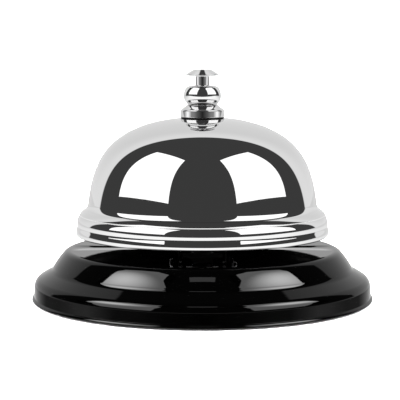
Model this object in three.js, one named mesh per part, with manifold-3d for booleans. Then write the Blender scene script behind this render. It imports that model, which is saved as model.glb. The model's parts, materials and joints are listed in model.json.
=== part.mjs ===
// A push-top service bell, built piece by piece.
// Units are millimetres, +Z is up, and the origin is on the surface the bell stands on,
// on the axis of the gong. The hammer swings on the +Y side.

import * as THREE from 'three';
import { mergeVertices } from 'three/addons/utils/BufferGeometryUtils.js';
import Module from 'manifold-3d';

const wasm = await Module();
wasm.setup();

// ---------------------------------------------------------------- driving dimensions

const GAP = 0.3;                 // clearance between pieces that touch
const THIN_GAP = 0.1;            // clearance between the stacked rings on the gong's crown

const BASE_R = 42.75;            // rim of the base
const BASE_TOP_Z = 12.85;        // flat top of the base
const BASE_TOP_R = 33.0;         // where the flat top starts to turn down
const BASE_RIM_Z = 0.4;          // underside of the rim
const BASE_CORNER_R = 37.0;      // foot of the base's steep side
const BASE_CORNER_Z = 9.1;
const BASE_SIDE_R = 42.25;       // upright wall above the rim bead
const BASE_SIDE_Z = 3.6;
const BASE_BEAD_Z = 2.0;         // top of the rim bead
const BASE_WALL = 0.8;
const PLATE_R = 40.8;            // closing plate
const PLATE_THICK = 0.8;
const PAD_R = 40.2;              // foot pad
const PAD_THICK = 0.85;

const GONG_LIP_Z = 16.45;        // underside of the lip
const GONG_LIP_R = 31.68;        // widest point of the lip
const GONG_WAIST_R = 28.6;       // where the dome meets the flare
const GONG_WAIST_Z = 24.7;
const GONG_STEP_R = 30.72;       // fine step in the flare
const GONG_STEP_HIGH_Z = 21.75;
const GONG_STEP_LOW_Z = 21.53;
const GONG_BAND_R = 31.4;        // upright band above the lip
const GONG_BAND_HIGH_Z = 19.6;
const GONG_BAND_LOW_Z = 18.95;
const GONG_SEAT_R = 5.9;         // flat seat at the crown
const GONG_SEAT_Z = 45.5;
const GONG_HOLE_R = 2.8;
const GONG_WALL = 0.8;

const COLLAR_R = 5.5;
const COLLAR_EDGE_Z = 47.6;      // top of the collar's upright side
const COLLAR_NECK_R = 3.7;       // where its sloping top ends under the ball
const COLLAR_TOP_Z = 48.95;
const GASKET_THICK = 0.15;

const BALL_R = 4.72;             // finial: half-width and half-height of its oval outline
const BALL_HALF_HEIGHT = 3.75;
const BALL_MID_Z = 51.2;
const BALL_TOP_Z = 53.7;

const BUTTON_TOP_Z = 57.6;
const BUTTON_RIM_R = 4.2;
const BUTTON_RIM_Z = 56.3;
const BUTTON_FLAT_R = 2.05;      // flat top of the cap
const BUTTON_UNDER_Z = 55.95;
const STEM_R = 1.7;
const STEM_BOTTOM_Z = 46.3;

const ROD_R = 1.0;
const ROD_TIP_Z = 17.6;
const ROD_TOP_Z = 52.0;
const CLIP_Z = 19.4;             // underside of the retaining clip
const CLIP_THICK = 0.5;
const CLIP_R = 2.3;
const GROOVE_R = 0.7;

const POST_R = 3.6;              // body of the post, above the bracket
const POST_THREAD_R = 2.5;       // top thread, through the gong and into the finial
const POST_SPIGOT_R = 2.3;       // bottom thread, through the bracket
const POST_BORE_R = 1.95;
const POST_BOTTOM_Z = 21.3;
const POST_SHOULDER_Z = 43.5;
const POST_TOP_Z = 52.0;
const SPRING_SEAT_Z = 32.0;      // ledge in the post's bore

const SPRING_WIRE_R = 0.2;
const SPRING_COIL_R = 1.45;
const SPRING_TURNS = 9;

const WEB_TOP_Z = 26.4;          // bracket
const SHEET = 1.2;
const LEG_OUTER_X = 7.2;
const LEG_BACK_Y = -6.0;
const WEB_FRONT_Y = 6.2;
const LEG_FRONT_Y = 12.8;
const LEG_FRONT_Z = 21.8;
const FOOT_X = 15.0;
const BEND_R = 0.6;

const PIVOT_Y = 9.5;
const PIVOT_Z = 19.1;
const PIN_R = 1.2;

const ARM_TOP_Z = 17.4;          // hammer arm
const ARM_THICK = 1.1;
const ARM_INNER_Y = -2.2;
const ARM_HALF_WIDTH = 2.6;
const EAR_OUTER_X = 5.2;
const EAR_THICK = 1.0;
const EAR_R = 2.5;

const HEAD_Y = 24.8;             // hammer head
const HEAD_R = 3.2;
const HEAD_TOP_Z = 22.0;
const HEAD_CHAMFER = 0.5;
const SHANK_R = 1.3;

const RIVET_X = 11.2;
const RIVET_R = 1.25;
const RIVET_HEAD_R = 2.3;

const HEX_R = 4.0;               // nut, across corners halved
const NUT_THICK = 2.3;
const WASHER_THICK = 0.7;

const SHELL_SEGMENTS = 40;       // steps round the base and the gong
const ROUND_SEGMENTS = 24;       // steps round the turned fittings
const SMALL_SEGMENTS = 12;       // steps round rods, rivets and holes
const CURVE_STEPS = 3;           // steps along each short curve of an outline
const DOME_STEPS = 10;           // steps up the gong's dome

// ---------------------------------------------------------------- materials

const metal = (color, roughness) => new THREE.MeshStandardMaterial({ color, roughness, metalness: 1 });
const plain = (color, roughness) => new THREE.MeshStandardMaterial({ color, roughness, metalness: 0 });

const chrome = metal(0xe6e8ea, 0.05);
const enamel = plain(0x050505, 0.12);
const zinc = metal(0xb9bcc0, 0.35);
const blackZinc = metal(0x2a2b2d, 0.4);
const steel = metal(0x9a9da1, 0.3);
const springSteel = metal(0x7d8085, 0.3);
const brass = metal(0xc9a24e, 0.3);
const rubber = plain(0x111111, 0.8);
const fibre = plain(0x6b2a1c, 0.75);

// ---------------------------------------------------------------- helpers

const bell = new THREE.Group();

function addPiece(name, geometry, material, parent = bell) {
  const mesh = new THREE.Mesh(geometry, material);
  mesh.name = name;
  parent.add(mesh);
  return mesh;
}

const point = (r, z) => new THREE.Vector2(r, z);

// Keeps positions only, with shared vertices merged and collapsed triangles dropped.
function closed(geometry) {
  const bare = geometry.index ? geometry.toNonIndexed() : geometry.clone();
  bare.deleteAttribute('normal');
  bare.deleteAttribute('uv');
  const merged = mergeVertices(bare, 1e-4);
  const index = merged.index.array;
  const kept = [];
  for (let i = 0; i < index.length; i += 3) {
    const [a, b, c] = [index[i], index[i + 1], index[i + 2]];
    if (a !== b && b !== c && c !== a) {
      kept.push(a, b, c);
    }
  }
  merged.setIndex(kept);
  merged.computeVertexNormals();
  return merged;
}

// Revolves an outline of (radius, height) points about the Z axis. The outline runs
// upwards along its outer side, and starts and ends on the axis or closes on itself.
function turned(outline, segments = ROUND_SEGMENTS) {
  return closed(new THREE.LatheGeometry(outline, segments).rotateX(Math.PI / 2));
}

// A ring or a tube: a rectangle turned about Z.
function ring(innerR, outerR, lowZ, highZ, segments = ROUND_SEGMENTS) {
  return turned([
    point(innerR, lowZ),
    point(outerR, lowZ),
    point(outerR, highZ),
    point(innerR, highZ),
    point(innerR, lowZ),
  ], segments);
}

function rod(radius, lowZ, highZ, segments = SMALL_SEGMENTS) {
  return turned([point(0, lowZ), point(radius, lowZ), point(radius, highZ), point(0, highZ)], segments);
}

// Extrudes an outline drawn in the XY plane from lowZ up to highZ.
function plate(shape, lowZ, highZ, curveSegments = 6) {
  const options = { depth: highZ - lowZ, bevelEnabled: false, curveSegments };
  return closed(new THREE.ExtrudeGeometry(shape, options).translate(0, 0, lowZ));
}

// Extrudes an outline drawn in the YZ plane (y across, z up) from lowX to highX.
function sidePlate(shape, lowX, highX, curveSegments = 6) {
  const options = { depth: highX - lowX, bevelEnabled: false, curveSegments };
  const geometry = new THREE.ExtrudeGeometry(shape, options);
  geometry.rotateX(Math.PI / 2);
  geometry.rotateZ(Math.PI / 2);
  return closed(geometry.translate(lowX, 0, 0));
}

// Extrudes an outline drawn in the XZ plane (x across, z up) from lowY to highY.
function crossPlate(shape, lowY, highY, curveSegments = 6) {
  const options = { depth: highY - lowY, bevelEnabled: false, curveSegments };
  const geometry = new THREE.ExtrudeGeometry(shape, options);
  geometry.rotateX(Math.PI / 2);
  return closed(geometry.translate(0, highY, 0));
}

// A round bar along X through the hammer's pivot axis.
function pivotBar(radius, lowX, highX) {
  const bar = rod(radius, lowX, highX);
  bar.rotateY(Math.PI / 2);
  return closed(bar.translate(0, PIVOT_Y, PIVOT_Z));
}

function toManifold(geometry) {
  const vertProperties = new Float32Array(geometry.attributes.position.array);
  const triVerts = new Uint32Array(geometry.index.array);
  return new wasm.Manifold(new wasm.Mesh({ numProp: 3, vertProperties, triVerts }));
}

function fromManifold(solid) {
  const { vertProperties, triVerts } = solid.getMesh();
  const geometry = new THREE.BufferGeometry();
  geometry.setAttribute('position', new THREE.BufferAttribute(vertProperties, 3));
  geometry.setIndex(Array.from(triVerts));
  return closed(geometry);
}

function join(first, ...rest) {
  return fromManifold(rest.reduce((sum, g) => sum.add(toManifold(g)), toManifold(first)));
}

function cut(body, ...tools) {
  return fromManifold(tools.reduce((sum, g) => sum.subtract(toManifold(g)), toManifold(body)));
}

// The inner side of a sheet: an outline moved by the sheet's thickness to its right,
// without the points that a tight bend folds back.
function offsetInwards(outer, thickness) {
  const moved = outer.map((p, i) => {
    const before = outer[Math.max(i - 1, 0)];
    const after = outer[Math.min(i + 1, outer.length - 1)];
    const along = point(after.x - before.x, after.y - before.y).normalize();
    return point(Math.max(p.x + along.y * thickness, 0), p.y - along.x * thickness);
  });
  return moved.filter((p) => outer.every((q) => p.distanceTo(q) > thickness * 0.97));
}

// A turned sheet whose outer side runs from the top centre out and down to its edge.
function turnedSheet(outer, thickness, startsOnAxis) {
  const inner = offsetInwards(outer, thickness);
  const outline = [...inner, ...outer.slice().reverse()];
  if (!startsOnAxis) {
    inner[0].x = outer[0].x;
    outline.push(inner[0].clone());
  }
  return turned(outline, SHELL_SEGMENTS);
}

// Adds a Bezier curve of any degree to an outline, starting at the outline's last point.
function curveTo(outline, steps, ...coordinates) {
  const controls = [outline[outline.length - 1]];
  for (let i = 0; i < coordinates.length; i += 2) {
    controls.push(point(coordinates[i], coordinates[i + 1]));
  }
  for (let step = 1; step <= steps; step += 1) {
    let level = controls;
    while (level.length > 1) {
      const shorter = [];
      for (let i = 1; i < level.length; i += 1) {
        shorter.push(level[i - 1].clone().lerp(level[i], step / steps));
      }
      level = shorter;
    }
    outline.push(level[0]);
  }
}

// ---------------------------------------------------------------- base

// Flat top, steep side, concave step, rounded ledge, wall and beaded rim.
function baseOutline() {
  const outline = [point(0, BASE_TOP_Z), point(BASE_TOP_R, BASE_TOP_Z)];
  curveTo(outline, CURVE_STEPS + 1, 34.1, BASE_TOP_Z, 34.75, 12.25, 34.95, 12.0);
  curveTo(outline, CURVE_STEPS, 35.75, 11.0, 36.5, 9.95, BASE_CORNER_R, BASE_CORNER_Z);
  curveTo(outline, CURVE_STEPS + 1, 37.4, 8.4, 37.75, 7.75, 38.9, 7.35);
  curveTo(outline, CURVE_STEPS + 1, 39.9, 7.0, 41.0, 6.6, 41.5, 5.85);
  curveTo(outline, CURVE_STEPS, 41.9, 5.25, 42.15, 4.5, BASE_SIDE_R - 0.05, BASE_SIDE_Z);
  outline.push(point(BASE_SIDE_R, BASE_BEAD_Z));
  curveTo(outline, CURVE_STEPS + 1, 42.6, 1.75, BASE_R, 1.35, BASE_R, 1.0);
  curveTo(outline, CURVE_STEPS, BASE_R, BASE_RIM_Z, BASE_R - 0.75, BASE_RIM_Z);
  return outline;
}

function makeBase() {
  const shell = turnedSheet(baseOutline(), BASE_WALL, true);
  const holes = [-RIVET_X, RIVET_X].map(
    (x) => rod(RIVET_R + GAP, BASE_TOP_Z - 2, BASE_TOP_Z + 1).translate(x, 0, 0)
  );
  addPiece('base_shell', cut(shell, ...holes), enamel);

  const plateZ = PAD_THICK + GAP;
  addPiece('base_plate', rod(PLATE_R, plateZ, plateZ + PLATE_THICK, SHELL_SEGMENTS), zinc);
  addPiece('foot_pad', rod(PAD_R, 0, PAD_THICK, SHELL_SEGMENTS), rubber);
}

// ---------------------------------------------------------------- bracket and rivets

const FOOT_Z = BASE_TOP_Z + GAP;           // underside of the bracket's feet

// The bent sheet seen along Y: foot, leg, web, leg, foot.
function hatSection() {
  const inner = LEG_OUTER_X - SHEET;
  const shape = new THREE.Shape();
  shape.moveTo(-FOOT_X, FOOT_Z);
  shape.lineTo(-inner - BEND_R, FOOT_Z);
  shape.absarc(-inner - BEND_R, FOOT_Z + BEND_R, BEND_R, -Math.PI / 2, 0, false);
  shape.lineTo(-inner, WEB_TOP_Z - SHEET);
  shape.lineTo(inner, WEB_TOP_Z - SHEET);
  shape.absarc(inner + BEND_R, FOOT_Z + BEND_R, BEND_R, Math.PI, 1.5 * Math.PI, false);
  shape.lineTo(FOOT_X, FOOT_Z);
  shape.lineTo(FOOT_X, FOOT_Z + SHEET);
  shape.lineTo(LEG_OUTER_X, FOOT_Z + SHEET);
  shape.absarc(LEG_OUTER_X - SHEET, WEB_TOP_Z - SHEET, SHEET, 0, Math.PI / 2, false);
  shape.absarc(-LEG_OUTER_X + SHEET, WEB_TOP_Z - SHEET, SHEET, Math.PI / 2, Math.PI, false);
  shape.lineTo(-LEG_OUTER_X, FOOT_Z + SHEET);
  shape.lineTo(-FOOT_X, FOOT_Z + SHEET);
  shape.closePath();
  return shape;
}

// The part of each leg that reaches past the web to carry the pivot pin.
function cheekOutline() {
  const shape = new THREE.Shape();
  const joinY = WEB_FRONT_Y - 1;
  shape.moveTo(joinY, FOOT_Z + SHEET);
  shape.lineTo(LEG_FRONT_Y, FOOT_Z + SHEET);
  shape.lineTo(LEG_FRONT_Y, LEG_FRONT_Z - 1);
  shape.quadraticCurveTo(LEG_FRONT_Y, LEG_FRONT_Z, LEG_FRONT_Y - 1, LEG_FRONT_Z + 0.8);
  shape.lineTo(WEB_FRONT_Y, WEB_TOP_Z - SHEET);
  shape.lineTo(joinY, WEB_TOP_Z - SHEET);
  shape.closePath();
  return shape;
}

function makeBracket() {
  const hat = crossPlate(hatSection(), LEG_BACK_Y, WEB_FRONT_Y, 3);
  const left = sidePlate(cheekOutline(), -LEG_OUTER_X, -LEG_OUTER_X + SHEET, 3);
  const right = sidePlate(cheekOutline(), LEG_OUTER_X - SHEET, LEG_OUTER_X, 3);
  const holes = [
    rod(POST_SPIGOT_R + GAP, WEB_TOP_Z - 3, WEB_TOP_Z + 1),
    pivotBar(PIN_R + GAP, -LEG_OUTER_X - 1, LEG_OUTER_X + 1),
  ];
  for (const x of [-RIVET_X, RIVET_X]) {
    holes.push(rod(RIVET_R + GAP, FOOT_Z - 1, FOOT_Z + 3).translate(x, 0, 0));
  }
  addPiece('striker_bracket', cut(join(hat, left, right), ...holes), blackZinc);

  // Shank through both sheets, flat set head below and domed head above.
  const lowFace = BASE_TOP_Z - BASE_WALL - GAP;
  const highFace = FOOT_Z + SHEET + GAP;
  const rivet = turned([
    point(0, lowFace - 0.8),
    point(RIVET_HEAD_R, lowFace - 0.8),
    point(RIVET_HEAD_R, lowFace),
    point(RIVET_R, lowFace),
    point(RIVET_R, highFace),
    point(RIVET_HEAD_R, highFace),
    point(RIVET_HEAD_R * 0.8, highFace + 0.7),
    point(RIVET_HEAD_R * 0.4, highFace + 1.0),
    point(0, highFace + 1.1),
  ], SMALL_SEGMENTS);
  addPiece('bracket_rivet_left', rivet, steel).position.x = -RIVET_X;
  addPiece('bracket_rivet_right', rivet.clone(), steel).position.x = RIVET_X;
}

// ---------------------------------------------------------------- post, nut and washers

function makePost() {
  const shoulder = WEB_TOP_Z + GAP;
  const rodBore = ROD_R + GAP;
  const outline = [
    point(rodBore, POST_BOTTOM_Z),
    point(POST_SPIGOT_R, POST_BOTTOM_Z),
    point(POST_SPIGOT_R, shoulder),
    point(POST_R, shoulder),
    point(POST_R, POST_SHOULDER_Z),
    point(POST_THREAD_R, POST_SHOULDER_Z),
    point(POST_THREAD_R, POST_TOP_Z),
    point(POST_BORE_R, POST_TOP_Z),
    point(POST_BORE_R, SPRING_SEAT_Z),
    point(rodBore, SPRING_SEAT_Z),
    point(rodBore, POST_BOTTOM_Z),
  ];
  addPiece('post', turned(outline, ROUND_SEGMENTS), steel);

  const washerTop = WEB_TOP_Z - SHEET - GAP;
  const washerHole = POST_SPIGOT_R + GAP;
  const split = 0.12;                      // half the angle of the washer's cut, in radians
  const washer = new THREE.Shape();
  washer.absarc(0, 0, HEX_R, split, 2 * Math.PI - split, false);
  washer.absarc(0, 0, washerHole, 2 * Math.PI - split, split, true);
  washer.closePath();
  addPiece('post_lock_washer', plate(washer, washerTop - WASHER_THICK, washerTop, 24), springSteel);

  const hexagon = new THREE.Shape();
  for (let corner = 0; corner < 6; corner += 1) {
    const angle = corner * Math.PI / 3;
    hexagon[corner ? 'lineTo' : 'moveTo'](HEX_R * Math.cos(angle), HEX_R * Math.sin(angle));
  }
  hexagon.closePath();
  const bore = new THREE.Path();
  bore.absarc(0, 0, washerHole, 0, 2 * Math.PI, true);
  hexagon.holes.push(bore);
  const nutTop = washerTop - WASHER_THICK - GAP;
  addPiece('post_nut', plate(hexagon, nutTop - NUT_THICK, nutTop, 20), brass);
}

// ---------------------------------------------------------------- gong and its fittings

// Seat, dome, flare with its fine step, upright band and rolled lip.
function gongOutline() {
  const outline = [point(GONG_HOLE_R, GONG_SEAT_Z), point(GONG_SEAT_R, GONG_SEAT_Z)];
  curveTo(outline, DOME_STEPS, 10.53, 45.26, 24.14, 43.04, 27.19, 35.64, GONG_WAIST_R, GONG_WAIST_Z);
  curveTo(outline, CURVE_STEPS, 28.66, 23.95, 28.85, 23.2, 29.3, 22.95);
  curveTo(outline, CURVE_STEPS, 29.75, 22.7, 30.5, 22.1, GONG_STEP_R, GONG_STEP_HIGH_Z);
  outline.push(point(GONG_STEP_R - 0.03, GONG_STEP_LOW_Z));
  curveTo(outline, CURVE_STEPS, 31.2, 21.0, 31.38, 20.3, GONG_BAND_R, GONG_BAND_HIGH_Z);
  outline.push(point(GONG_BAND_R, GONG_BAND_LOW_Z));
  curveTo(outline, CURVE_STEPS, 31.42, 18.6, 31.66, 17.9, GONG_LIP_R, 17.25);
  outline.push(point(GONG_LIP_R, GONG_LIP_Z + 0.3));
  outline.push(point(GONG_LIP_R - 0.1, GONG_LIP_Z + 0.08));
  outline.push(point(GONG_LIP_R - 0.3, GONG_LIP_Z));
  outline.push(point(GONG_LIP_R - GONG_WALL, GONG_LIP_Z));
  return outline;
}

function makeGong() {
  addPiece('bell_gong', turnedSheet(gongOutline(), GONG_WALL, false), chrome);

  const washerLow = POST_SHOULDER_Z + GAP;
  addPiece('gong_seat_washer', ring(GONG_HOLE_R, 5.0, washerLow, washerLow + 0.6), fibre);

  const gasketLow = GONG_SEAT_Z + THIN_GAP;
  const gasketTop = gasketLow + GASKET_THICK;
  addPiece('collar_gasket', ring(GONG_HOLE_R, COLLAR_R - 0.1, gasketLow, gasketTop), rubber);

  const collarLow = gasketTop + THIN_GAP;
  const collar = turned([
    point(GONG_HOLE_R, collarLow),
    point(COLLAR_R - 0.15, collarLow),
    point(COLLAR_R, collarLow + 0.15),
    point(COLLAR_R, COLLAR_EDGE_Z),
    point(COLLAR_R - 0.08, COLLAR_EDGE_Z + 0.25),
    point(COLLAR_R - 0.3, COLLAR_EDGE_Z + 0.42),
    point(COLLAR_NECK_R, COLLAR_TOP_Z),
    point(GONG_HOLE_R, COLLAR_TOP_Z),
    point(GONG_HOLE_R, collarLow),
  ]);
  addPiece('collar', collar, chrome);
}

// An oval ball with a flat foot, bored for the post's thread and, above it, for the stem.
function makeFinial() {
  const low = COLLAR_TOP_Z + THIN_GAP;
  const boreTop = POST_TOP_Z + GAP;
  const stemHole = STEM_R + GAP;
  const outline = [point(GONG_HOLE_R, low)];
  const angleAt = (z) => Math.asin((z - BALL_MID_Z) / BALL_HALF_HEIGHT);
  const first = angleAt(low);
  const last = angleAt(BALL_TOP_Z - 0.15);
  const steps = 9;
  for (let i = 0; i <= steps; i += 1) {
    const angle = first + (last - first) * i / steps;
    outline.push(point(BALL_R * Math.cos(angle), BALL_MID_Z + BALL_HALF_HEIGHT * Math.sin(angle)));
  }
  outline.push(
    point(3.3, BALL_TOP_Z),
    point(stemHole, BALL_TOP_Z),
    point(stemHole, boreTop),
    point(GONG_HOLE_R, boreTop),
    point(GONG_HOLE_R, low)
  );
  addPiece('finial_nut', turned(outline), chrome);
}

// ---------------------------------------------------------------- plunger

function makePlunger() {
  const plunger = new THREE.Group();
  bell.add(plunger);

  // Mushroom cap and stem in one piece, with a blind bore for the rod.
  const bore = ROD_R + GAP;
  const outline = [
    point(0, ROD_TOP_Z + GAP),
    point(bore, ROD_TOP_Z + GAP),
    point(bore, STEM_BOTTOM_Z),
    point(STEM_R, STEM_BOTTOM_Z),
    point(STEM_R, BUTTON_UNDER_Z),
  ];
  const rimLow = BUTTON_RIM_Z - 0.15;
  curveTo(outline, CURVE_STEPS, BUTTON_RIM_R - 1.2, BUTTON_UNDER_Z + 0.05, BUTTON_RIM_R - 0.15, rimLow);
  outline.push(point(BUTTON_RIM_R, BUTTON_RIM_Z));
  outline.push(point(BUTTON_RIM_R - 0.1, BUTTON_RIM_Z + 0.12));
  outline.push(point(BUTTON_FLAT_R, BUTTON_TOP_Z));
  outline.push(point(0, BUTTON_TOP_Z));
  addPiece('plunger_button', turned(outline), chrome, plunger);

  const grooveLow = CLIP_Z - THIN_GAP;
  const grooveHigh = CLIP_Z + CLIP_THICK + THIN_GAP;
  const rodOutline = [
    point(0, ROD_TIP_Z),
    point(ROD_R * 0.6, ROD_TIP_Z + 0.1),
    point(ROD_R, ROD_TIP_Z + 0.5),
    point(ROD_R, grooveLow),
    point(GROOVE_R, grooveLow),
    point(GROOVE_R, grooveHigh),
    point(ROD_R, grooveHigh),
    point(ROD_R, ROD_TOP_Z),
    point(0, ROD_TOP_Z),
  ];
  addPiece('plunger_rod', turned(rodOutline, SMALL_SEGMENTS), steel, plunger);

  const clip = ring(GROOVE_R + 0.15, CLIP_R, CLIP_Z, CLIP_Z + CLIP_THICK, 24);
  addPiece('retaining_clip', clip, springSteel, plunger);
  const washerLow = CLIP_Z + CLIP_THICK + GAP;
  const quiet = ring(ROD_R + GAP, CLIP_R + 0.1, washerLow, POST_BOTTOM_Z - GAP, 24);
  addPiece('quiet_washer', quiet, rubber, plunger);
}

// ---------------------------------------------------------------- return spring

class Helix extends THREE.Curve {
  constructor(radius, lowZ, highZ, turns) {
    super();
    this.radius = radius;
    this.lowZ = lowZ;
    this.highZ = highZ;
    this.turns = turns;
  }

  getPoint(t, target = new THREE.Vector3()) {
    const angle = t * this.turns * 2 * Math.PI;
    const z = this.lowZ + (this.highZ - this.lowZ) * t;
    return target.set(this.radius * Math.cos(angle), this.radius * Math.sin(angle), z);
  }
}

function makeSpring() {
  const stepsPerTurn = 8;
  const wire = new THREE.Shape();
  wire.absarc(0, 0, SPRING_WIRE_R, 0, 2 * Math.PI, false);
  const margin = SPRING_WIRE_R + GAP;
  const extrudePath = new Helix(SPRING_COIL_R, SPRING_SEAT_Z + margin, STEM_BOTTOM_Z - margin, SPRING_TURNS);
  const steps = SPRING_TURNS * stepsPerTurn;
  const coil = new THREE.ExtrudeGeometry(wire, { steps, curveSegments: 3, bevelEnabled: false, extrudePath });
  addPiece('return_spring', closed(coil), springSteel);
}

// ---------------------------------------------------------------- hammer

// Plan of the arm: narrow tail under the rod, wide middle between the ears, narrow neck
// and a round end under the head.
function armPlan() {
  const shape = new THREE.Shape();
  const endR = ARM_HALF_WIDTH;
  shape.moveTo(-ARM_HALF_WIDTH, ARM_INNER_Y);
  shape.lineTo(ARM_HALF_WIDTH, ARM_INNER_Y);
  shape.lineTo(ARM_HALF_WIDTH, PIVOT_Y - 5);
  shape.lineTo(EAR_OUTER_X, PIVOT_Y - EAR_R - 0.8);
  shape.lineTo(EAR_OUTER_X, PIVOT_Y + EAR_R + 0.8);
  shape.lineTo(ARM_HALF_WIDTH - 0.4, PIVOT_Y + 6.5);
  shape.lineTo(ARM_HALF_WIDTH - 0.4, HEAD_Y - 1.5);
  shape.absarc(0, HEAD_Y, endR, -0.6, Math.PI + 0.6, false);
  shape.lineTo(-ARM_HALF_WIDTH + 0.4, HEAD_Y - 1.5);
  shape.lineTo(-ARM_HALF_WIDTH + 0.4, PIVOT_Y + 6.5);
  shape.lineTo(-EAR_OUTER_X, PIVOT_Y + EAR_R + 0.8);
  shape.lineTo(-EAR_OUTER_X, PIVOT_Y - EAR_R - 0.8);
  shape.lineTo(-ARM_HALF_WIDTH, PIVOT_Y - 5);
  shape.closePath();
  return shape;
}

// Side view of one ear: a foot as long as the arm's wide middle, and a round top.
function earOutline() {
  const shape = new THREE.Shape();
  const low = ARM_TOP_Z - ARM_THICK;
  shape.moveTo(PIVOT_Y - EAR_R - 0.8, low);
  shape.lineTo(PIVOT_Y + EAR_R + 0.8, low);
  shape.lineTo(PIVOT_Y + EAR_R + 0.8, ARM_TOP_Z);
  shape.lineTo(PIVOT_Y + EAR_R, PIVOT_Z);
  shape.absarc(PIVOT_Y, PIVOT_Z, EAR_R, 0, Math.PI, false);
  shape.lineTo(PIVOT_Y - EAR_R - 0.8, ARM_TOP_Z);
  shape.closePath();
  return shape;
}

function makeHammer() {
  const hammer = new THREE.Group();
  bell.add(hammer);

  const strip = plate(armPlan(), ARM_TOP_Z - ARM_THICK, ARM_TOP_Z, 10);
  const leftEar = sidePlate(earOutline(), -EAR_OUTER_X, -EAR_OUTER_X + EAR_THICK, 10);
  const rightEar = sidePlate(earOutline(), EAR_OUTER_X - EAR_THICK, EAR_OUTER_X, 10);
  const pinHole = pivotBar(PIN_R + GAP, -EAR_OUTER_X - 1, EAR_OUTER_X + 1);
  const shankHole = rod(SHANK_R + GAP, ARM_TOP_Z - 3, ARM_TOP_Z + 1).translate(0, HEAD_Y, 0);
  addPiece('hammer_arm', cut(join(strip, leftEar, rightEar), pinHole, shankHole), blackZinc, hammer);

  // Turned slug with its shank through the arm and peened below.
  const peenTop = ARM_TOP_Z - ARM_THICK - GAP;
  const seat = ARM_TOP_Z + GAP;
  const head = turned([
    point(0, peenTop - 0.7),
    point(1.4, peenTop - 0.6),
    point(2.1, peenTop),
    point(SHANK_R, peenTop),
    point(SHANK_R, seat),
    point(HEAD_R - 0.2, seat),
    point(HEAD_R, seat + 0.2),
    point(HEAD_R, HEAD_TOP_Z - HEAD_CHAMFER),
    point(HEAD_R - HEAD_CHAMFER, HEAD_TOP_Z),
    point(0, HEAD_TOP_Z),
  ], 24);
  addPiece('hammer_head', head, steel, hammer).position.y = HEAD_Y;
}

// The pin lies along X through the legs and the ears; its head bears on the left leg.
function makePivot() {
  const headFace = -LEG_OUTER_X - GAP;
  const clipLow = LEG_OUTER_X + GAP;
  const clipHigh = clipLow + CLIP_THICK;
  const pinOutline = [
    point(0, headFace - 0.9),
    point(PIN_R + 0.9, headFace - 0.9),
    point(PIN_R + 0.9, headFace),
    point(PIN_R, headFace),
    point(PIN_R, clipLow - THIN_GAP),
    point(PIN_R - 0.4, clipLow - THIN_GAP),
    point(PIN_R - 0.4, clipHigh + THIN_GAP),
    point(PIN_R, clipHigh + THIN_GAP),
    point(PIN_R, clipHigh + 0.9),
    point(0, clipHigh + 0.9),
  ];
  const pivot = new THREE.Group();
  pivot.position.set(0, PIVOT_Y, PIVOT_Z);
  pivot.rotation.y = Math.PI / 2;
  bell.add(pivot);
  addPiece('pivot_pin', turned(pinOutline, SMALL_SEGMENTS), steel, pivot);
  addPiece('pivot_clip', ring(PIN_R - 0.2, PIN_R + 1.0, clipLow, clipHigh, SMALL_SEGMENTS), springSteel, pivot);
}

makeBase();
makeBracket();
makePost();
makeGong();
makeFinial();
makePlunger();
makeSpring();
makeHammer();
makePivot();

export default bell;
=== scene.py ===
import json
import math

import bmesh
import bpy
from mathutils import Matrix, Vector


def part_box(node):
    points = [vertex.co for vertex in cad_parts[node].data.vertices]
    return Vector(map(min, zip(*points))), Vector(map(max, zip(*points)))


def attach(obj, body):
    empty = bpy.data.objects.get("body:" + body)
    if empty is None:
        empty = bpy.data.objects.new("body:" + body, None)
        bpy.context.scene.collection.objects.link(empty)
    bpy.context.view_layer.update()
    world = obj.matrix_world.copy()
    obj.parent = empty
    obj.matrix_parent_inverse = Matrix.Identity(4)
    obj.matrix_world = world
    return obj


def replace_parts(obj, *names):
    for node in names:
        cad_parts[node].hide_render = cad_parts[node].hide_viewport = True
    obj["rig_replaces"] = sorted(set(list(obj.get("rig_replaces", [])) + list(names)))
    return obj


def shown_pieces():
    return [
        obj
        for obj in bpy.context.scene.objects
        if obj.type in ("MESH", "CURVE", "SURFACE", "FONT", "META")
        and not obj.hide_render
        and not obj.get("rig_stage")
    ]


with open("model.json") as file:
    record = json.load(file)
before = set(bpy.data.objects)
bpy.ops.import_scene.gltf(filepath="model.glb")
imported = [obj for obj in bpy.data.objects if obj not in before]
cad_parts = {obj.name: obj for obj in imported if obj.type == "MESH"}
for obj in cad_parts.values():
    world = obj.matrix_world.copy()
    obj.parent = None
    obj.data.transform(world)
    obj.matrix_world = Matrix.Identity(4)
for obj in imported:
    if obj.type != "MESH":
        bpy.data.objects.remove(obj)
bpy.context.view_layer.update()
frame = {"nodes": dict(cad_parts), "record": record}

record = frame["record"]

# A push-top service bell. Outlines are drawn in millimetres as (radius, height) and
# hang on the CAD boxes, so every turned piece fits the node that it stands for.

MM = 0.001
FINE = 256          # steps round the gong and the base
MEDIUM = 128        # steps round the visible fittings
SMALL = 64          # steps round the pieces inside

BODY_OF = {node: body for body, nodes in record["behaviour"]["bodies"].items() for node in nodes}
SLOT_OF = {part["node"]: part["material_slot"] for part in record["subparts"]}


def box_mm(node):
    """The CAD box of a node: its low and high corner in millimetres."""
    low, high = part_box(node)
    return low / MM, high / MM


# ---------------------------------------------------------------- node graphs

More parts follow.
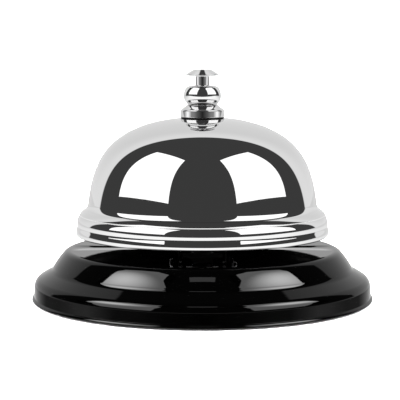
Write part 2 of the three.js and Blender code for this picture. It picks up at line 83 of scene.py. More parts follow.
class Graph:
    """A short way to write a node tree. Values are numbers or sockets. The textures read
    metres, so a noise of scale 100 has grains of about a centimetre."""

    def __init__(self, tree):
        self.tree = tree
        self.tree.nodes.clear()

    def node(self, kind, **settings):
        made = self.tree.nodes.new(kind)
        for name, value in settings.items():
            setattr(made, name, value)
        return made

    def feed(self, socket, value):
        if isinstance(value, bpy.types.NodeSocket):
            self.tree.links.new(value, socket)
        else:
            socket.default_value = value

    def show(self, shader, output="ShaderNodeOutputMaterial"):
        """Makes a shader the surface of the material, or of the world."""
        self.feed(self.node(output).inputs["Surface"], shader)

    def math(self, operation, *values):
        made = self.node("ShaderNodeMath", operation=operation)
        for socket, value in zip(made.inputs, values):
            self.feed(socket, value)
        return made.outputs[0]

    def remap(self, value, low, high, to_low=0.0, to_high=1.0):
        """Goes smoothly from one level to another as the value goes from low to high."""
        made = self.node("ShaderNodeMapRange", interpolation_type="SMOOTHSTEP")
        for socket, number in zip(made.inputs, (value, low, high, to_low, to_high)):
            self.feed(socket, number)
        return made.outputs[0]

    def blend(self, share, first, second):
        made = self.node("ShaderNodeMix", data_type="FLOAT")
        self.feed(made.inputs[0], share)
        self.feed(made.inputs[2], first)
        self.feed(made.inputs[3], second)
        return made.outputs[0]

    def two_colours(self, value, first, second, low=0.0, high=1.0):
        """Goes from one colour to another as the value goes from low to high."""
        made = self.node("ShaderNodeValToRGB")
        for i, (position, colour) in enumerate(((low, first), (high, second))):
            made.color_ramp.elements[i].position = position
            made.color_ramp.elements[i].color = colour
        self.feed(made.inputs[0], value)
        return made.outputs[0]

    def noise(self, coordinates, scale, detail=2.0, roughness=0.5):
        made = self.node("ShaderNodeTexNoise")
        self.feed(made.inputs["Vector"], coordinates)
        made.inputs["Scale"].default_value = scale
        made.inputs["Detail"].default_value = detail
        made.inputs["Roughness"].default_value = roughness
        return made.outputs["Fac"]

    def rings(self, coordinates, scale, wobble):
        """Tool rings about Z. A scale of 1 is about three rings to the metre."""
        made = self.node("ShaderNodeTexWave", wave_type="BANDS", bands_direction="Z")
        made.inputs["Scale"].default_value = scale
        made.inputs["Distortion"].default_value = wobble
        self.feed(made.inputs["Vector"], coordinates)
        return made.outputs["Fac"]

    def drawn_grain(self, coordinates):
        """Fine lines along X, as rolling leaves them."""
        stretch = self.node("ShaderNodeMapping")
        stretch.inputs["Scale"].default_value = (1.0, 12.0, 12.0)
        self.feed(stretch.inputs["Vector"], coordinates)
        return self.noise(stretch.outputs[0], 400.0, 3.0)

    def bump(self, height, depth):
        """The normal of a surface with a relief so many millimetres deep."""
        made = self.node("ShaderNodeBump")
        made.inputs["Distance"].default_value = depth * MM
        self.feed(made.inputs["Height"], height)
        return made.outputs["Normal"]


# ---------------------------------------------------------------- materials

def grey(level):
    return (level, level, level, 1.0)


def new_surface(name, **values):
    """A Principled material, its graph, its shader and its object coordinates."""
    material = bpy.data.materials.new(name)
    material.use_nodes = True
    graph = Graph(material.node_tree)
    shader = graph.node("ShaderNodeBsdfPrincipled")
    graph.show(shader.outputs[0])
    for socket, value in values.items():
        shader.inputs[socket.replace("_", " ")].default_value = value
    place = graph.node("ShaderNodeTexCoord").outputs["Object"]
    return material, graph, shader, place


def chrome(name):
    """Mirror plating with a faint polishing haze."""
    material, graph, shader, place = new_surface(name, Base_Color=grey(0.73), Metallic=1.0)
    haze = graph.noise(place, 90.0, 4.0, 0.6)
    graph.feed(shader.inputs["Roughness"], graph.remap(haze, 0.35, 0.75, 0.008, 0.02))
    ripple = graph.noise(place, 260.0)
    graph.feed(shader.inputs["Normal"], graph.bump(ripple, 0.0015))
    return material


def black_enamel():
    """Baked enamel: gloss with a faint haze and a trace of orange peel."""
    material, graph, shader, place = new_surface("black_enamel", Base_Color=grey(0.0001), IOR=1.22)
    haze = graph.noise(place, 60.0, 4.0, 0.6)
    graph.feed(shader.inputs["Roughness"], graph.remap(haze, 0.3, 0.8, 0.02, 0.045))
    peel = graph.noise(place, 420.0)
    graph.feed(shader.inputs["Normal"], graph.bump(peel, 0.003))
    return material


def turned_metal(name, tint, rough):
    """Bright metal with fine tool rings about the piece's axis and a cloudy sheen."""
    material, graph, shader, place = new_surface(name, Base_Color=tint, Metallic=1.0)
    cloud = graph.noise(place, 350.0, 4.0)
    graph.feed(shader.inputs["Roughness"], graph.remap(cloud, 0.3, 0.7, rough * 0.8, rough * 1.3))
    tool_rings = 955.414                    # about three to the millimetre
    graph.feed(shader.inputs["Normal"], graph.bump(graph.rings(place, tool_rings, 1.5), 0.004))
    return material


def zinc_plate():
    """Zinc on rolled steel: drawn grain, a cool cloudiness and darker patches."""
    material, graph, shader, place = new_surface("zinc_plate", Metallic=1.0)
    cloud = graph.noise(place, 220.0, 5.0, 0.65)
    darker, lighter = (0.46, 0.47, 0.49, 1.0), (0.66, 0.67, 0.68, 1.0)
    graph.feed(shader.inputs["Base Color"], graph.two_colours(cloud, darker, lighter, 0.3, 0.7))
    graph.feed(shader.inputs["Roughness"], graph.remap(cloud, 0.3, 0.7, 0.42, 0.26))
    graph.feed(shader.inputs["Normal"], graph.bump(graph.drawn_grain(place), 0.01))
    return material


def black_zinc():
    """Painted shade: zinc made dull and nearly black, so that the pieces inside look as dark as the
    shaded gap under the gong, with a chalky bloom and drawn grain.
    """
    material, graph, shader, place = new_surface("black_zinc", Specular_IOR_Level=0.08)
    bloom = graph.noise(place, 500.0, 3.0)
    # nearly black, as painted shade for the gap under the gong
    darker, lighter = (0.001, 0.001, 0.0012, 1.0), (0.004, 0.004, 0.0043, 1.0)
    graph.feed(shader.inputs["Base Color"], graph.two_colours(bloom, darker, lighter, 0.3, 0.7))
    graph.feed(shader.inputs["Roughness"], graph.remap(bloom, 0.3, 0.7, 0.9, 0.7))
    graph.feed(shader.inputs["Normal"], graph.bump(graph.drawn_grain(place), 0.01))
    return material


def rubber(name, level, grain_scale, depth):
    """Dull rubber with a fine moulded or cellular grain."""
    material, graph, shader, place = new_surface(name, Base_Color=grey(level))
    grain = graph.noise(place, grain_scale, 6.0, 0.7)
    graph.feed(shader.inputs["Roughness"], graph.remap(grain, 0.3, 0.7, 0.62, 0.85))
    graph.feed(shader.inputs["Normal"], graph.bump(grain, depth))
    return material


def red_fibre():
    """Pressed vulcanised fibre: mottled brown-red with a short felted grain."""
    material, graph, shader, place = new_surface("red_fibre", Roughness=0.7)
    mottle = graph.noise(place, 900.0, 8.0, 0.7)
    darker, lighter = (0.16, 0.035, 0.02, 1.0), (0.42, 0.12, 0.08, 1.0)
    graph.feed(shader.inputs["Base Color"], graph.two_colours(mottle, darker, lighter))
    graph.feed(shader.inputs["Normal"], graph.bump(mottle, 0.03))
    return material


def painted_shade_inside_material():
    """The gong's inner side: dull, with spinning rings and stains, and nearly black as painted shade."""
    material, graph, shader, place = new_surface("gong_inside_painted_shade", Metallic=1.0)
    stain = graph.noise(place, 130.0, 5.0, 0.6)
    # nearly black: painted shade on the inner side, with stains varying it
    darker, lighter = (0.025, 0.024, 0.023, 1.0), (0.06, 0.058, 0.055, 1.0)
    graph.feed(shader.inputs["Base Color"], graph.two_colours(stain, darker, lighter, 0.35, 0.7))
    graph.feed(shader.inputs["Roughness"], graph.remap(stain, 0.3, 0.7, 0.5, 0.35))
    graph.feed(shader.inputs["Normal"], graph.bump(graph.rings(place, 300.0, 2.0), 0.02))
    return material


MATERIALS = {
    "black_enamel": black_enamel(),
    "gong_chrome": chrome("gong_chrome"),
    "fitting_chrome": chrome("fitting_chrome"),
    "zinc_plate": zinc_plate(),
    # black_zinc is nearly black as painted shade for the pieces in the gap under the gong
    "black_zinc": black_zinc(),
    "bright_steel": turned_metal("bright_steel", (0.56, 0.56, 0.57, 1.0), 0.22),
    "spring_steel": turned_metal("spring_steel", (0.34, 0.34, 0.36, 1.0), 0.3),
    "brass": turned_metal("brass", (0.72, 0.53, 0.25, 1.0), 0.24),
    "black_rubber": rubber("black_rubber", 0.018, 2500.0, 0.02),
    "pad_rubber": rubber("pad_rubber", 0.03, 1400.0, 0.06),
    "red_fibre": red_fibre(),
}


# ---------------------------------------------------------------- outlines

class Outline:
    """A pen that draws (radius, height) points."""

    def __init__(self, r, z):
        self.points = [Vector((r, z))]

    def line(self, *numbers):
        """Straight lines to the points given, as radius, height, radius, height."""
        for r, z in zip(numbers[::2], numbers[1::2]):
            self.points.append(Vector((r, z)))
        return self

    def curve(self, *numbers, steps=16):
        """A Bezier curve from the last point; the numbers are its other control points."""
        control = [self.points[-1]] + [Vector(p) for p in zip(numbers[::2], numbers[1::2])]
        for i in range(1, steps + 1):
            level = list(control)
            while len(level) > 1:
                level = [a.lerp(b, i / steps) for a, b in zip(level, level[1:])]
            self.points.append(level[0])
        return self


def softened(points, radius, closed):
    """The outline with its sharp corners rounded off."""
    sharp, steps = 20.0, 4
    out = []
    count = len(points)
    for i, here in enumerate(points):
        if not closed and i in (0, count - 1):
            out.append(here)
            continue
        before, after = points[i - 1], points[(i + 1) % count]
        into, away = here - before, after - here
        if into.length < 1e-9 or away.length < 1e-9 or math.degrees(into.angle(away)) < sharp:
            out.append(here)
            continue
        reach = min(radius, into.length * 0.45, away.length * 0.45)
        start, end = here - into.normalized() * reach, here + away.normalized() * reach
        for step in range(steps + 1):
            t = step / steps
            out.append(start.lerp(here, t).lerp(here.lerp(end, t), t))
    return out


def supported(points, closed):
    """The outline with an extra point wherever a long straight part meets a much shorter
    one, so that smooth shading leaves the straight part flat."""
    margin, much_shorter = 0.04, 0.4
    count = len(points)
    parts = count if closed else count - 1
    lengths = [(points[(i + 1) % count] - points[i]).length for i in range(parts)]
    out = []
    for i, length in enumerate(lengths):
        start, end = points[i], points[(i + 1) % count]
        out.append(start)
        if length < margin * 5:
            continue
        if (closed or i > 0) and lengths[i - 1] < length * much_shorter:
            out.append(start.lerp(end, margin / length))
        if (closed or i < parts - 1) and lengths[(i + 1) % parts] < length * much_shorter:
            out.append(start.lerp(end, 1.0 - margin / length))
    if not closed:
        out.append(points[-1])
    return out


def inner_side(outer, wall):
    """The outline moved to its right by the sheet's thickness. Points that come nearer to
    it than that are left out, so the result has no folded loops."""
    nearest = wall * 0.97
    moved = []
    for i, here in enumerate(outer):
        along = outer[min(i + 1, len(outer) - 1)] - outer[max(i - 1, 0)]
        normal = Vector((along.y, -along.x)).normalized()
        moved.append(here + normal * wall)
    clear = []
    for p in moved:
        if min((p - q).length for q in outer) > nearest:
            clear.append(Vector((max(p.x, 0.0), p.y)))
    return clear


# ---------------------------------------------------------------- pieces

SHARP_EDGE = math.radians(32.0)


def finish_piece(obj, node):
    """Gives a new mesh its material, its body and the node that it stands for."""
    mesh = obj.data
    mesh.polygons.foreach_set("use_smooth", [True] * len(mesh.polygons))
    mesh.set_sharp_from_angle(angle=SHARP_EDGE)
    mesh.materials.append(MATERIALS[SLOT_OF[node]])
    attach(obj, BODY_OF[node])
    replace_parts(obj, node)
    return obj


def add_object(name, data):
    obj = bpy.data.objects.new(name, data)
    bpy.context.scene.collection.objects.link(obj)
    return obj


def mesh_object(name, vertices, faces):
    """A new mesh whose faces all look outwards."""
    mesh = bpy.data.meshes.new(name)
    mesh.from_pydata(vertices, [], faces)
    work = bmesh.new()
    work.from_mesh(mesh)
    bmesh.ops.recalc_face_normals(work, faces=work.faces)
    work.to_mesh(mesh)
    work.free()
    return add_object(name, mesh)


def turned_mesh(name, points, closed, segments, centre=(0.0, 0.0), axis="Z"):
    """Turns an outline about the Z axis, or about X through (y, z) = centre."""
    vertices, rings = [], []
    for p in points:
        if p.x < 1e-6:
            rings.append([len(vertices)])
            vertices.append((0.0, 0.0, p.y))
            continue
        rings.append([len(vertices) + k for k in range(segments)])
        for k in range(segments):
            angle = 2 * math.pi * k / segments
            vertices.append((p.x * math.cos(angle), p.x * math.sin(angle), p.y))
    faces = []
    pairs = list(zip(rings, rings[1:])) + ([(rings[-1], rings[0])] if closed else [])
    for low, high in pairs:
        for k in range(segments):
            n = (k + 1) % segments
            corners = [low[k % len(low)], low[n % len(low)], high[n % len(high)], high[k % len(high)]]
            unique = list(dict.fromkeys(corners))
            if len(unique) > 2:
                faces.append(unique)
    if axis == "X":
        placed = [(z, x + centre[0], y + centre[1]) for x, y, z in vertices]
    else:
        placed = [(x + centre[0], y + centre[1], z) for x, y, z in vertices]
    return mesh_object(name, [tuple(c * MM for c in v) for v in placed], faces)


def turned(node, points, closed=True, soft=0.08, segments=SMALL, centre=(0.0, 0.0), axis="Z"):
    """A finished piece turned from an outline whose corners are rounded off by soft."""
    rounded = supported(softened(points, soft, closed), closed)
    obj = turned_mesh(node + "_fine", rounded, closed, segments, centre, axis)
    return finish_piece(obj, node)


def disc(node, soft):
    """A plain round plate."""
    low, high = box_mm(node)
    outline = Outline(0.0, high.z).line(high.x, high.z, high.x, low.z, 0.0, low.z)
    turned(node, outline.points, closed=False, soft=soft, segments=FINE)


def ring(node, bore, soft, segments=SMALL):
    """A plain washer: a ring with a round bore."""
    low, high = box_mm(node)
    outline = Outline(bore, low.z).line(high.x, low.z, high.x, high.z, bore, high.z)
    turned(node, outline.points, soft=soft, segments=segments)


# ---------------------------------------------------------------- base

BASE_WALL = 0.8
RIVET_X = 11.2
RIVET_R = 1.25
RIVET_PLAY = 0.3


def drill(obj, places, radius, low, high):
    """Cuts upright round holes through a piece."""
    for place in places:
        rod = [Vector((0.0, low)), Vector((radius, low)), Vector((radius, high)), Vector((0.0, high))]
        cutter = turned_mesh("cutter", rod, False, SMALL, place)
        hole = obj.modifiers.new("hole", "BOOLEAN")
        hole.operation = "DIFFERENCE"
        hole.object = cutter
        evaluated = obj.evaluated_get(bpy.context.evaluated_depsgraph_get())
        mesh = bpy.data.meshes.new_from_object(evaluated)
        obj.modifiers.clear()
        obj.data = mesh
        bpy.data.objects.remove(cutter)


def make_shell():
    """The enamelled sheet: a flat top, a cone, a ledge, an upright side and a rim bead."""
    low, high = box_mm("base_shell")
    edge, top, rim = high.x, high.z, low.z
    outer = Outline(0.0, top).line(33.0, top)
    outer.curve(34.1, top, 34.7, 12.22, 34.9, 12.0)         # the top's rounded edge
    outer.curve(35.8, 11.0, 36.75, 9.65, 37.3, 8.7)         # the cone
    outer.curve(37.5, 8.3, 37.7, 7.95, 38.2, 7.65)
    outer.line(41.0, 5.97)                                  # the ledge
    outer.curve(41.4, 5.7, 41.8, 5.25, 41.95, 4.85)
    outer.curve(42.05, 4.55, 42.15, 4.3, 42.16, 3.8)
    outer.line(42.25, 1.3)                                  # the upright side
    outer.curve(42.55, 1.15, edge, 0.95, edge, 0.65)        # the rim bead
    outer.curve(edge, rim, edge - 0.5, rim)
    inner = inner_side(outer.points, BASE_WALL)
    inner[0].x = 0.0
    shell = turned("base_shell", outer.points + inner[::-1], closed=False, soft=0.1, segments=FINE)
    drill(shell, [(-RIVET_X, 0.0), (RIVET_X, 0.0)], RIVET_R + RIVET_PLAY, top - 2.0, top + 1.0)


# ---------------------------------------------------------------- gong and crown fittings

GONG_WALL = 0.8
HOLE = 2.8          # the bore of the gong and of what is stacked on it


def make_gong():
    """The dome, a flare with a fine step, and the banded lip."""
    low, high = box_mm("bell_gong")
    lip, foot, seat = high.x, low.z, high.z
    outer = Outline(HOLE, seat).line(5.9, seat)
    outer.curve(10.53, 45.26, 24.14, 43.04, 27.19, 35.64, 28.6, 24.7, steps=96)     # the dome
    outer.curve(28.66, 23.95, 28.85, 23.2, 29.3, 22.95, steps=24)                   # the flare
    outer.curve(29.75, 22.7, 30.5, 22.1, 30.72, 21.75, steps=24)
    outer.line(30.69, 21.51)                                                        # the step
    outer.curve(31.2, 21.0, 31.38, 20.3, 31.4, 19.6, steps=36)                      # the lip
    outer.line(31.4, 18.95)
    outer.curve(31.42, 18.6, lip - 0.02, 17.9, lip, 17.25, steps=24)
    outer.line(lip, 16.85)
    outer.curve(lip, foot, lip - 0.35, foot, steps=12)
    outer.line(lip - GONG_WALL, foot)
    inner = inner_side(outer.points, GONG_WALL)
    gong = turned("bell_gong", outer.points + inner[::-1], soft=0.03, segments=FINE)
    # the gong's inward and downward faces get painted shade
    paint_shade_inside(gong)


def paint_shade_inside(gong):
    """Gives the faces that look inwards and down the nearly black material, as painted shade."""
    gong.data.materials.append(painted_shade_inside_material())
    up, looks_inside = Vector((0.0, 0.0, 1.0)), -0.25
    for face in gong.data.polygons:
        outward = Vector((face.center.x, face.center.y, 0.0)).normalized() + up
        if face.normal.dot(outward) < looks_inside:
            face.material_index = 1


def make_collar():
    """A turned ring with a rounded shoulder and a slightly sloping top."""
    low, high = box_mm("collar")
    chamfer, side_top, shoulder, neck = 0.04, 47.4, 47.78, 3.7
    collar = Outline(HOLE, low.z).line(high.x - chamfer, low.z, high.x, low.z + chamfer)
    collar.line(high.x, side_top).curve(high.x, 47.68, high.x - 0.3, shoulder, steps=8)
    collar.line(neck, high.z, HOLE, high.z)
    turned("collar", collar.points, soft=0.06, segments=MEDIUM)


def make_finial():
    """A flattened ball with a rounded mouth that the button's stem passes through."""
    low, high = box_mm("finial_nut")
    half_width, half_height, middle, steps = high.x, 3.75, 51.2, 64
    ball_top, mouth, thread_top = 53.2, 2.0, 52.3
    finial = Outline(HOLE, low.z)
    first, last = (math.asin((z - middle) / half_height) for z in (low.z, ball_top))
    for i in range(steps + 1):
        angle = first + (last - first) * i / steps
        finial.line(half_width * math.cos(angle), middle + half_height * math.sin(angle))
    finial.curve(3.45, 53.54, 2.95, high.z, 2.4, high.z)
    finial.line(mouth, high.z, mouth, thread_top, HOLE, thread_top)
    turned("finial_nut", finial.points, soft=0.12, segments=MEDIUM)


def make_button():
    """A domed cap and its stem, bored from below for the rod."""
    low, high = box_mm("plunger_button")
    rim, top = high.x, high.z
    stem_foot, stem_neck, bore, bore_top = 1.62, 1.75, 1.3, 52.3
    rim_z, under, flat = 56.3, 55.95, 2.14
    button = Outline(0.0, bore_top).line(bore, bore_top, bore, low.z)
    button.line(stem_foot, low.z, stem_neck, under)
    button.curve(rim - 1.2, under + 0.05, rim - 0.15, rim_z - 0.15)
    button.curve(rim + 0.03, rim_z, rim - 0.1, rim_z + 0.12, steps=8)
    button.line(flat, top, 0.0, top)
    turned("plunger_button", button.points, closed=False, soft=0.08, segments=MEDIUM)


# ---------------------------------------------------------------- pieces inside

def make_rivets():
    """Two rivets: a set end under the sheet, a shank and a domed head."""
    for node, x in (("bracket_rivet_left", -RIVET_X), ("bracket_rivet_right", RIVET_X)):
        low, high = box_mm(node)
        set_top, head_low, head_r = low.z + 0.8, high.z - 1.1, 2.3
        rivet = Outline(0.0, low.z).line(head_r - 0.15, low.z, head_r, low.z + 0.2, head_r, set_top)
        rivet.line(RIVET_R, set_top, RIVET_R, head_low, head_r, head_low)
        rivet.curve(head_r, head_low + 0.5, 1.5, high.z, 0.0, high.z, steps=20)
        turned(node, rivet.points, closed=False, soft=0.06, centre=(x, 0.0))


def threaded(outline, r, low, high, pitch):
    """Adds the ridges of a thread to an outline, from one height to another."""
    depth = 0.22
    count = int(abs(high - low) / pitch)
    step = (high - low) / count
    for i in range(count):
        start = low + i * step
        outline.line(r, start + step * 0.1, r - depth, start + step * 0.45)
        outline.line(r - depth, start + step * 0.6, r, start + step * 0.95)


def make_post():
    """The hollow spindle: a threaded spigot, a plain body and a threaded upper end."""
    low, high = box_mm("post")
    rod_bore, spring_bore, spring_seat = 1.3, 1.95, 32.0
    spigot, body, thread, relief = 2.3, high.x, 2.5, 0.25
    spigot_thread_top, body_low, body_top = 24.0, 26.7, 43.5
    post = Outline(rod_bore, low.z).line(spigot - relief, low.z, spigot, low.z + relief)
    threaded(post, spigot, low.z + 0.4, spigot_thread_top, 0.45)
    post.line(spigot, body_low, body, body_low, body, body_top)
    post.line(thread - relief, body_top, thread - relief, body_top + 0.4)
    threaded(post, thread, body_top + 0.7, high.z - 0.4, 0.5)
    post.line(thread - relief, high.z, spring_bore, high.z)
    post.line(spring_bore, spring_seat, rod_bore, spring_seat)
    turned("post", post.points, soft=0.05)


def make_rod():
    """A rod with a rounded lower end and a groove for its clip."""
    low, high = box_mm("plunger_rod")
    r, groove, groove_low, groove_top, chamfer = high.x, 0.7, 19.3, 20.0, 0.2
    rod = Outline(0.0, low.z).curve(0.75, low.z, r, low.z + 0.1, r, low.z + 0.6, steps=12)
    rod.line(r, groove_low, groove, groove_low, groove, groove_top, r, groove_top)
    rod.line(r, high.z - chamfer, r - chamfer, high.z, 0.0, high.z)
    turned("plunger_rod", rod.points, closed=False, soft=0.04)


def make_pivot():
    """The headed pin, drawn along X, and the clip in the groove at its plain end."""
    pin_low, pin_high = box_mm("pivot_pin")
    clip_low, clip_high = box_mm("pivot_clip")
    middle_y, middle_z = (pin_low.y + pin_high.y) / 2, (pin_low.z + pin_high.z) / 2
    centre = (middle_y, middle_z)
    r, groove, head, face = 1.2, 0.8, pin_high.z - middle_z, pin_low.x + 0.9
    play, chamfer = 0.1, 0.2
    pin = Outline(0.0, pin_low.x).line(head - 0.4, pin_low.x).curve(head, pin_low.x, head, face - 0.3)
    pin.line(head, face, r, face, r, clip_low.x - play, groove, clip_low.x - play)
    pin.line(groove, clip_high.x + play, r, clip_high.x + play, r, pin_high.x - chamfer)
    pin.line(r - chamfer, pin_high.x, 0.0, pin_high.x)
    turned("pivot_pin", pin.points, closed=False, soft=0.05, centre=centre, axis="X")
    bore, outside = 1.0, clip_high.z - middle_z
    clip = Outline(bore, clip_low.x).line(outside, clip_low.x, outside, clip_high.x, bore, clip_high.x)
    turned("pivot_clip", clip.points, soft=0.08, centre=centre, axis="X")


def make_hammer_head():
    """A slug on a shank that is peened over under the arm."""
    low, high = box_mm("hammer_head")
    y, r, peen, shank = (low.y + high.y) / 2, high.x, 2.1, 1.3
    peen_top, seat, chamfer, crown = 16.0, 17.7, 0.2, 0.6
    head = Outline(0.0, low.z).curve(1.2, low.z, peen, low.z + 0.2, peen, peen_top, steps=12)
    head.line(shank, peen_top, shank, seat, r - chamfer, seat, r, seat + chamfer)
    head.line(r, high.z - crown).curve(r, high.z, r - crown, high.z, steps=12)
    head.line(0.0, high.z)
    turned("hammer_head", head.points, closed=False, soft=0.06, centre=(0.0, y))


def make_spring():
    """A coil of round wire with one closed turn at each end."""
    low, high = box_mm("return_spring")
    wire, coil, gap = 0.2, 1.45, 0.03       # the radii of the wire and of its centre line
    turns, steps, sides = 10, 40, 12
    bottom, top = low.z + wire, high.z - wire
    closed = (2 * wire + gap) / 2           # what a closed turn climbs
    vertices, faces = [], []
    count = turns * steps
    for i in range(count + 1):
        turn = i / steps
        angle = 2 * math.pi * turn
        open_share = min(max((turn - 1.0) / (turns - 2.0), 0.0), 1.0)
        closed_turns = min(turn, 1.0) - min(turns - turn, 1.0) + 1.0
        z = bottom + closed * closed_turns + (top - bottom - 2 * closed) * open_share
        for k in range(sides):
            tilt = 2 * math.pi * k / sides
            r = coil + wire * math.cos(tilt)
            point = (r * math.cos(angle), r * math.sin(angle), z + wire * math.sin(tilt))
            vertices.append(tuple(c * MM for c in point))
    for i in range(count):
        for k in range(sides):
            n = (k + 1) % sides
            faces.append((i * sides + k, i * sides + n, (i + 1) * sides + n, (i + 1) * sides + k))
    faces.append(tuple(range(sides)))
    faces.append(tuple(count * sides + k for k in range(sides)))
    finish_piece(mesh_object("return_spring_fine", vertices, faces), "return_spring")


make_shell()
disc("base_plate", soft=0.2)
disc("foot_pad", soft=0.25)
make_gong()
ring("collar_gasket", bore=HOLE, soft=0.06, segments=MEDIUM)
make_collar()
make_finial()
make_button()
make_rivets()
make_post()
ring("gong_seat_washer", bore=HOLE, soft=0.08)
make_rod()
ring("retaining_clip", bore=0.85, soft=0.08)
ring("quiet_washer", bore=1.3, soft=0.15)
make_pivot()
make_hammer_head()
make_spring()

# The nodes without a finer piece keep the CAD mesh, with its edges rounded off.
EDGE_ROUND = 0.12 * MM
EDGE_ANGLE = math.radians(40.0)
replaced = {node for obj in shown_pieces() for node in obj.get("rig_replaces", [])}
for node, obj in frame["nodes"].items():
    obj.data.materials.clear()
    obj.data.materials.append(MATERIALS[SLOT_OF[node]])
    if node not in replaced:
        edges = obj.modifiers.new("edges", "BEVEL")
        edges.width = EDGE_ROUND
        edges.segments = 2
        edges.angle_limit = EDGE_ANGLE


# ---------------------------------------------------------------- studio

# Corners and spots are directions from the bell, as (azimuth, elevation) in degrees. They
# are the right side's, and the left side mirrors them. Lengths are metres.

CARD_AZIMUTH = 58.0              # where the middle of each softbox stands
CARD_DISTANCE = 1.2
SOFTBOX = ((34, 13.0), (92.5, 9.5), (103, 60), (34, 65))
HOT_SOFTBOX = ((34, 9.5), (70, 9.5), (88, 25), (96, 48), (89, 61), (47, 65), (44, 57), (35, 49), (33, 30))
SOFTBOX_STRENGTH = 1.6
HOT_SPOT = (76, 45.6)            # the brightest place of the hot softbox
HOT_SPOT_DISTANCE = 1.81
HOT_SPOT_RADIUS = 0.85
HOT_STRENGTH = 38.0
HOT_EDGE_STRENGTH = 8.0
HOT_NEARER = 0.02                # how far it stands in front of the plain softbox

DARK = 0.055                     # the unlit studio in front and overhead
PLAIN = 1.1                      # the backdrop as the camera and dull surfaces see it
GLOW_HALF_WIDTH = 1.75           # the glow's outline on a plane one unit behind the bell
GLOW_HALF_HEIGHT = 1.28
GLOW_MIDDLE = 0.6
HORIZON_LOW, HORIZON_HIGH = -2.6, -2.0       # the elevations of the horizon's soft edge
# Brightness below the horizon, past the ends of the table, by azimuth.
HORIZON = [(0, 0.02), (10, 0.05), (18, 0.08), (28, 0.12), (45, 0.26), (60, 0.3), (70, 0.8),
           (82, 1.35), (93, 0.98), (101, 0.56), (112, 0.28), (130, 0.15), (148, 0.6),
           (160, 0.85), (180, 0.9)]

FLOOR_RADIUS = 3.0
FLOOR_CORNERS = 64
TABLE_FRONT, TABLE_BACK, TABLE_SIDE = 0.283, 0.8, 0.8      # how far the glowing table top goes
TABLE_HOLE = 0.085               # the radius of its part that the bell shades
TABLE_LIFT = 0.0005

PANEL_SIZE = (0.2, 0.084)
PANEL_DISTANCE = 0.8
PANEL_ELEVATION = 62.5
PANEL_WATTS = 0.16

CAMERA_PLACE = (-0.0006, -0.374, 0.066)
CAMERA_DOWN = 6.26               # how many degrees it looks down


def direction(azimuth, elevation):
    """A unit vector. Azimuth 0 is towards the camera, -Y, and 90 is +X."""
    a, e = math.radians(azimuth), math.radians(elevation)
    return Vector((math.sin(a) * math.cos(e), -math.cos(a) * math.cos(e), math.sin(e)))


def lit_card(name, vertices, faces):
    """A card that the camera does not see, and the empty graph of its material."""
    mesh = bpy.data.meshes.new(name)
    mesh.from_pydata(vertices, [], faces)
    card = add_object(name, mesh)
    card.visible_camera = False
    material = bpy.data.materials.new(name)
    material.use_nodes = True
    mesh.materials.append(material)
    return card, Graph(material.node_tree)


def card_beside(name, side, outline):
    """A flat card beside the bell whose corners lie in the directions given."""
    corners = []
    for azimuth, elevation in outline:
        reach = math.cos(math.radians(elevation)) * math.cos(math.radians(azimuth - CARD_AZIMUTH))
        corners.append(direction(azimuth * side, elevation) * (CARD_DISTANCE / reach))
    return lit_card(name, corners, [tuple(range(len(corners)))])


def make_softbox(name, side, receivers):
    """A tall flat light beside the bell, evenly lit and flagged off the enamel."""
    card, graph = card_beside(name, side, SOFTBOX)
    glow = graph.node("ShaderNodeEmission")
    graph.feed(glow.inputs["Strength"], SOFTBOX_STRENGTH)
    graph.show(glow.outputs[0])
    card.light_linking.receiver_collection = receivers
    card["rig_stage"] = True


def make_hot_softbox(name, side, receivers):
    """The strong lamp in the softbox. It stands just in front of it, lets the light of
    everything behind it through, and shines on the enamel and the table only."""
    card, graph = card_beside(name, side, HOT_SOFTBOX)
    card.location = direction(CARD_AZIMUTH * side, 0) * -HOT_NEARER
    azimuth, elevation = HOT_SPOT
    spot = graph.node("ShaderNodeVectorMath", operation="DISTANCE")
    graph.feed(spot.inputs[0], graph.node("ShaderNodeTexCoord").outputs["Object"])
    graph.feed(spot.inputs[1], direction(azimuth * side, elevation) * HOT_SPOT_DISTANCE)
    glow = graph.node("ShaderNodeEmission")
    strength = graph.remap(spot.outputs["Value"], 0.0, HOT_SPOT_RADIUS, HOT_STRENGTH, HOT_EDGE_STRENGTH)
    graph.feed(glow.inputs["Strength"], strength)
    through = graph.node("ShaderNodeAddShader")
    graph.feed(through.inputs[0], glow.outputs[0])
    graph.feed(through.inputs[1], graph.node("ShaderNodeBsdfTransparent").outputs[0])
    graph.show(through.outputs[0])
    card.light_linking.receiver_collection = receivers
    card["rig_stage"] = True


def backdrop(graph, x, y, z):
    """The dark studio with a round glow on the backdrop behind the bell."""
    depth = graph.math("MAXIMUM", y, 0.001)
    across = graph.math("DIVIDE", graph.math("DIVIDE", x, depth), GLOW_HALF_WIDTH)
    up = graph.math("SUBTRACT", graph.math("DIVIDE", z, depth), GLOW_MIDDLE)
    up = graph.math("DIVIDE", up, GLOW_HALF_HEIGHT)
    squares = [graph.math("POWER", graph.math("ABSOLUTE", part), 2.0) for part in (across, up)]
    out = graph.math("SQRT", graph.math("ADD", *squares))
    inside = graph.remap(out, 0.97, 1.03, 1.0, 0.0)         # the edge is slightly soft
    glow = graph.remap(out, 0.3, 0.8, 0.82, 0.95)           # and the middle a little darker
    return graph.blend(inside, DARK, glow)


def horizon(graph, x, y):
    """What lies below the horizon, past the ends of the table. It changes by azimuth."""
    turn = graph.math("ARCTAN2", x, graph.math("MULTIPLY", y, -1.0))
    around = graph.math("DEGREES", graph.math("ABSOLUTE", turn))
    ramp = graph.node("ShaderNodeValToRGB")
    elements = ramp.color_ramp.elements
    elements[0].color = grey(HORIZON[0][1])
    elements[1].color = grey(HORIZON[-1][1])
    for angle, level in HORIZON[1:-1]:
        elements.new(angle / 180).color = grey(level)
    graph.feed(ramp.inputs[0], graph.math("DIVIDE", around, 180.0))
    return ramp.outputs[0]


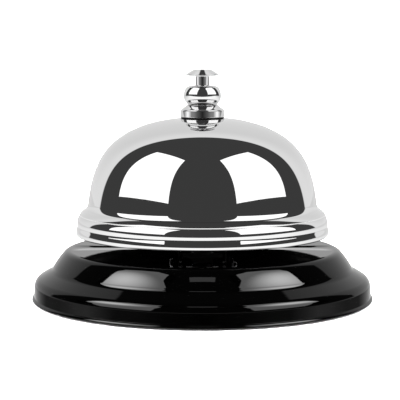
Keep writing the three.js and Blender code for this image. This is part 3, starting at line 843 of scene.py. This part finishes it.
def make_world():
    """What the bell mirrors: the backdrop above and the horizon below. The camera and
    dull surfaces see plain white."""
    world = bpy.data.worlds.new("studio")
    bpy.context.scene.world = world
    world.use_nodes = True
    graph = Graph(world.node_tree)
    split = graph.node("ShaderNodeSeparateXYZ")
    graph.feed(split.inputs[0], graph.node("ShaderNodeTexCoord").outputs["Generated"])
    x, y, z = split.outputs
    height = graph.math("DEGREES", graph.math("ARCSINE", z))
    is_above = graph.remap(height, HORIZON_LOW, HORIZON_HIGH)
    seen = graph.blend(is_above, horizon(graph, x, y), backdrop(graph, x, y, z))
    path = graph.node("ShaderNodeLightPath")
    is_plain = graph.math("MAXIMUM", path.outputs["Is Camera Ray"], path.outputs["Is Diffuse Ray"])
    background = graph.node("ShaderNodeBackground")
    graph.feed(background.inputs["Color"], grey(1.0))
    graph.feed(background.inputs["Strength"], graph.blend(is_plain, seen, PLAIN))
    graph.show(background.outputs[0], "ShaderNodeOutputWorld")


def make_table_glow():
    """The bright table top as the mirrors see it: it ends in front of the bell, the bell
    shades the part next to its base, and it is brightest in front."""
    steps = 48
    vertices, faces = [], []
    for k in range(steps):
        angle = 2 * math.pi * (k + 0.5) / steps
        c, s = math.cos(angle), math.sin(angle)
        end = TABLE_BACK if s > 0 else TABLE_FRONT
        reach = min(TABLE_SIDE / max(abs(c), 1e-6), end / max(abs(s), 1e-6))
        vertices.append((TABLE_HOLE * c, TABLE_HOLE * s, TABLE_LIFT))
        vertices.append((reach * c, reach * s, TABLE_LIFT))
        n = (k + 1) % steps
        faces.append((2 * k, 2 * k + 1, 2 * n + 1, 2 * n))
    card, graph = lit_card("table_glow", vertices, faces)
    split = graph.node("ShaderNodeSeparateXYZ")
    graph.feed(split.inputs[0], graph.node("ShaderNodeTexCoord").outputs["Object"])
    glow = graph.node("ShaderNodeEmission")
    graph.feed(glow.inputs["Strength"], graph.remap(split.outputs["Y"], -0.12, 0.25, 1.3, 0.8))
    graph.show(glow.outputs[0])
    card.visible_diffuse = False
    card.visible_shadow = False
    card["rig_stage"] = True


def make_floor():
    """A wide white table top. Only its own look and its light on the bell count, so the
    mirror surfaces see the studio past it."""
    corners = [direction(360 * k / FLOOR_CORNERS, 0) * FLOOR_RADIUS for k in range(FLOOR_CORNERS)]
    mesh = bpy.data.meshes.new("floor")
    mesh.from_pydata(corners, [], [tuple(range(FLOOR_CORNERS))])
    floor = add_object("floor", mesh)
    material = new_surface("floor", Base_Color=grey(0.98), Roughness=0.9, Specular_IOR_Level=0.0)[0]
    mesh.materials.append(material)
    floor.visible_glossy = False
    floor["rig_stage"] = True
    return floor


def make_receivers(name, others=()):
    """The objects that a lamp shines on: the enamelled base and the others given."""
    receivers = bpy.data.collections.new(name)
    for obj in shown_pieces():
        if "base_shell" in obj.get("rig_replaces", []):
            receivers.objects.link(obj)
    for obj in others:
        receivers.objects.link(obj)
    return receivers


def make_top_panel():
    """A small lamp high in front, flagged off everything but the base."""
    lamp = bpy.data.lights.new("top_panel", "AREA")
    lamp.shape = "RECTANGLE"
    lamp.size, lamp.size_y = PANEL_SIZE
    lamp.energy = PANEL_WATTS
    panel = add_object("top_panel", lamp)
    panel.location = direction(0, PANEL_ELEVATION) * PANEL_DISTANCE
    panel.rotation_euler = (math.radians(90.0 - PANEL_ELEVATION), 0.0, 0.0)
    panel.light_linking.receiver_collection = make_receivers("enamel_only")
    panel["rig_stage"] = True


def make_camera():
    data = bpy.data.cameras.new("camera")
    data.sensor_width = 36.0
    data.lens = 135.0
    camera = add_object("camera", data)
    camera.location = CAMERA_PLACE
    camera.rotation_euler = (math.radians(90.0 - CAMERA_DOWN), 0.0, 0.0)
    bpy.context.scene.camera = camera


table = make_floor()
lit = make_receivers("enamel_and_table", [table])
unlit = make_receivers("all_but_enamel")
for child in unlit.collection_objects:
    child.light_linking.link_state = "EXCLUDE"
for side, name in ((-1, "left"), (1, "right")):
    make_softbox("softbox_" + name, side, unlit)
    make_hot_softbox("hot_softbox_" + name, side, lit)
make_world()
make_table_glow()
make_top_panel()
make_camera()
bpy.context.scene.view_settings.view_transform = "Standard"
